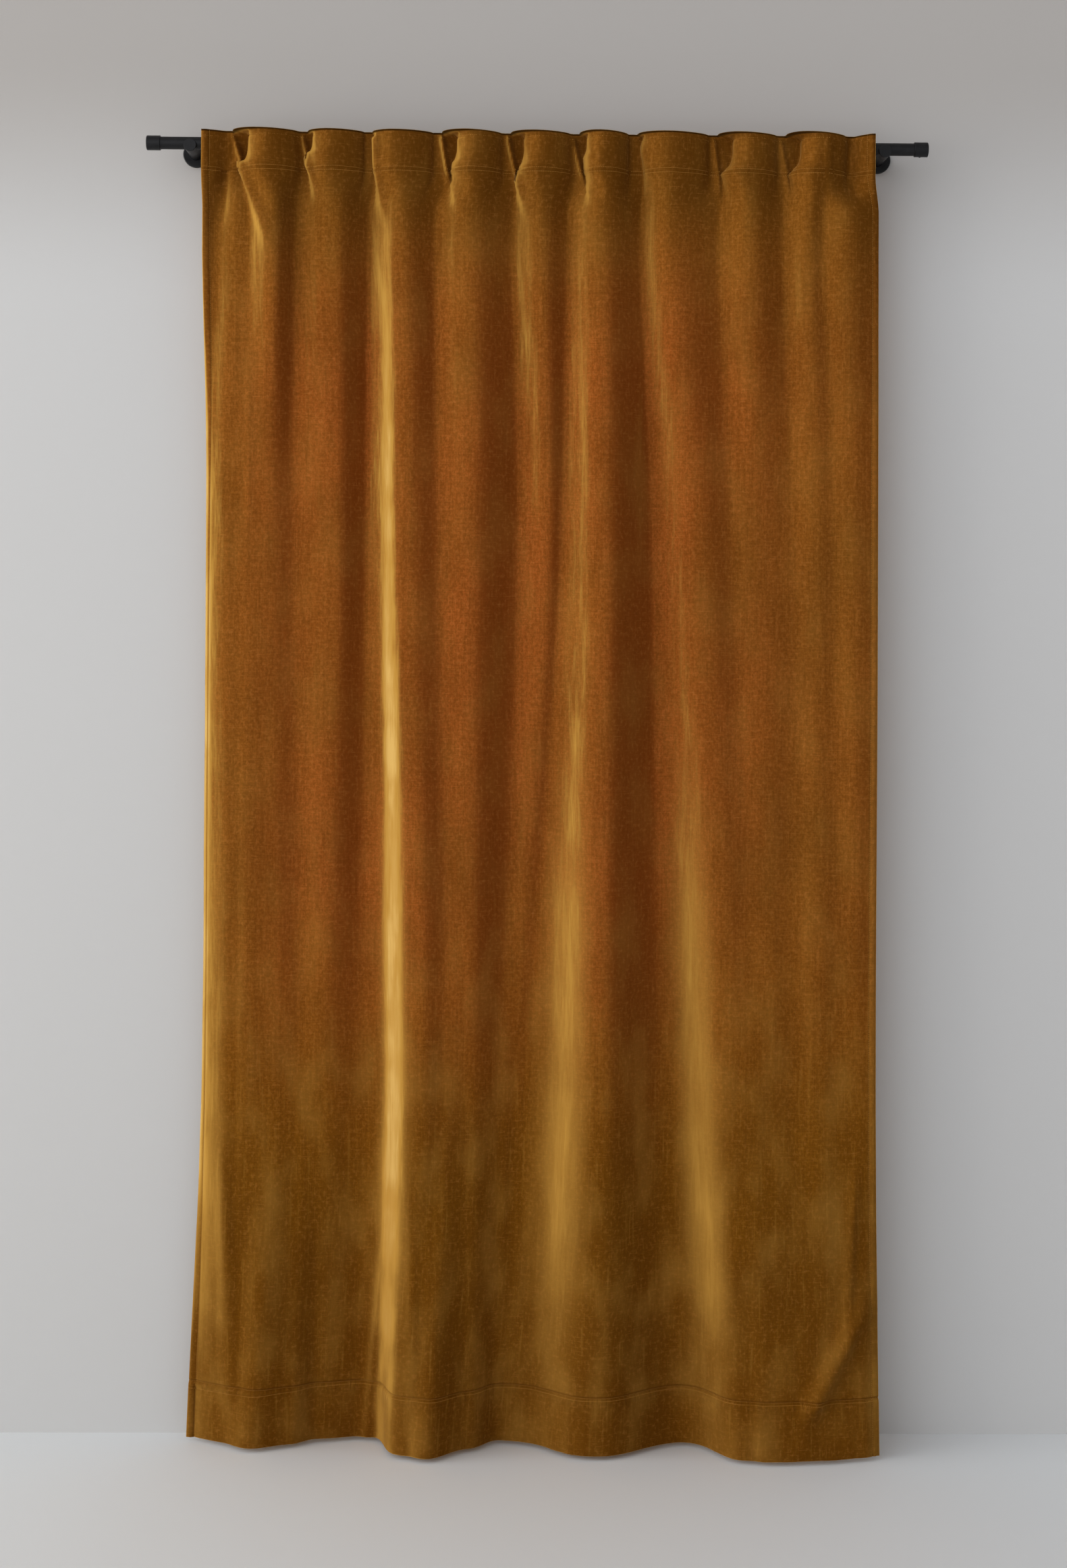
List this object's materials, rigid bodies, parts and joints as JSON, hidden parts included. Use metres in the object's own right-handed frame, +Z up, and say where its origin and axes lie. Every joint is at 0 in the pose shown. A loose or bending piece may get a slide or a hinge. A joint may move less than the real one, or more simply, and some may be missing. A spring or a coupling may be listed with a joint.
{
  "type": "velvet curtain panel on a curtain rod with wall brackets",
  "caption": "Hemmed velvet curtain panel in long soft folds, hung by hidden loops from a slim round rod with end caps, held off the wall by round-plate brackets.",
  "frame": {"origin": "on the wall plane, midway between the two wall plates, at the height of their centres", "axes": "+X along the rod to the right as seen from the room, +Y into the wall, +Z up"},
  "size_m": [1.4906, 0.1658, 2.5022],
  "materials": {
    "velvet": "ochre cotton velvet, short pile with a golden sheen on slopes",
    "webbing": "plain cotton webbing",
    "black_metal": "satin black powder coat"
  },
  "bodies": {
    "root": {"drape": "velvet", "tab_01": "webbing", "tab_02": "webbing", "tab_03": "webbing", "tab_04": "webbing", "tab_05": "webbing", "tab_06": "webbing", "tab_07": "webbing", "tab_08": "webbing", "tab_09": "webbing", "tab_10": "webbing", "rod": "black_metal", "cap_left": "black_metal", "cap_right": "black_metal", "arm_left": "black_metal", "arm_right": "black_metal", "plate_left": "black_metal", "plate_right": "black_metal"}
  },
  "joints": []
}
